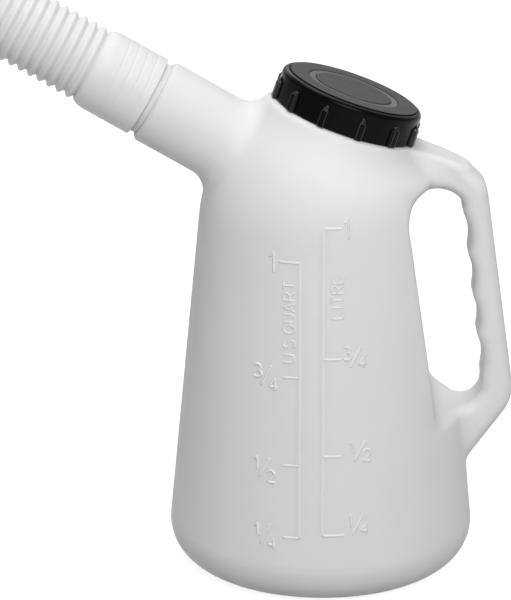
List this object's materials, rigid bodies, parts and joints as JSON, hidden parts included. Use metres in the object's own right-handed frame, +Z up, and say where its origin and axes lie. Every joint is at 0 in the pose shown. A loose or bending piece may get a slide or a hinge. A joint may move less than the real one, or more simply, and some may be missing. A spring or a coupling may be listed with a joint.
{
  "type": "fluid filling container",
  "caption": "Tapered white plastic measuring jug with a finger-grip handle, black screw cap on a leaning filler neck and a ringed flexible screw-on pouring spout.",
  "frame": {"origin": "centre of the standing ring, on the surface that the jug stands on", "axes": "+Z up, +X from the body toward the handle and the filler neck's lean, -X toward the spout, +Y away from the side with the scale"},
  "size_m": [0.2505, 0.1118, 0.2482],
  "materials": {
    "jug_polyethylene": "natural white, satin",
    "cap_polypropylene": "black, satin",
    "liner_foam": "white, matte",
    "spout_polyethylene": "natural white, satin",
    "washer_rubber": "black, matte"
  },
  "bodies": {
    "jug": {"jug_body": "jug_polyethylene"},
    "cap_liner": {"cap_seal": "liner_foam"},
    "cap": {"screw_cap": "cap_polypropylene"},
    "spout_ring": {"spout_washer": "washer_rubber"},
    "spout": {"flexible_spout": "spout_polyethylene"}
  },
  "joints": [
    {"name": "cap_lift", "type": "slide", "parent": "jug", "child": "cap_liner", "axis": [0.3256, 0, 0.9455], "range_m": [0, 0.012]},
    {"name": "cap_turn", "type": "hinge", "parent": "cap_liner", "child": "cap", "pos_m": [0.007, 0, 0.1672], "axis": [0.3256, 0, 0.9455], "range_deg": [0, 1080]},
    {"name": "spout_travel", "type": "slide", "parent": "jug", "child": "spout_ring", "axis": [-0.866, 0, 0.5], "range_m": [0, 0.0185]},
    {"name": "spout_turn", "type": "hinge", "parent": "spout_ring", "child": "spout", "pos_m": [-0.0608, 0, 0.1741], "axis": [-0.866, 0, 0.5], "range_deg": [0, 1800]}
  ],
  "couplings": [
    {"joint": "cap_lift", "follows": "cap_turn", "m_per_rad": 0.00063662},
    {"joint": "spout_travel", "follows": "spout_turn", "m_per_rad": 0.00058887}
  ]
}
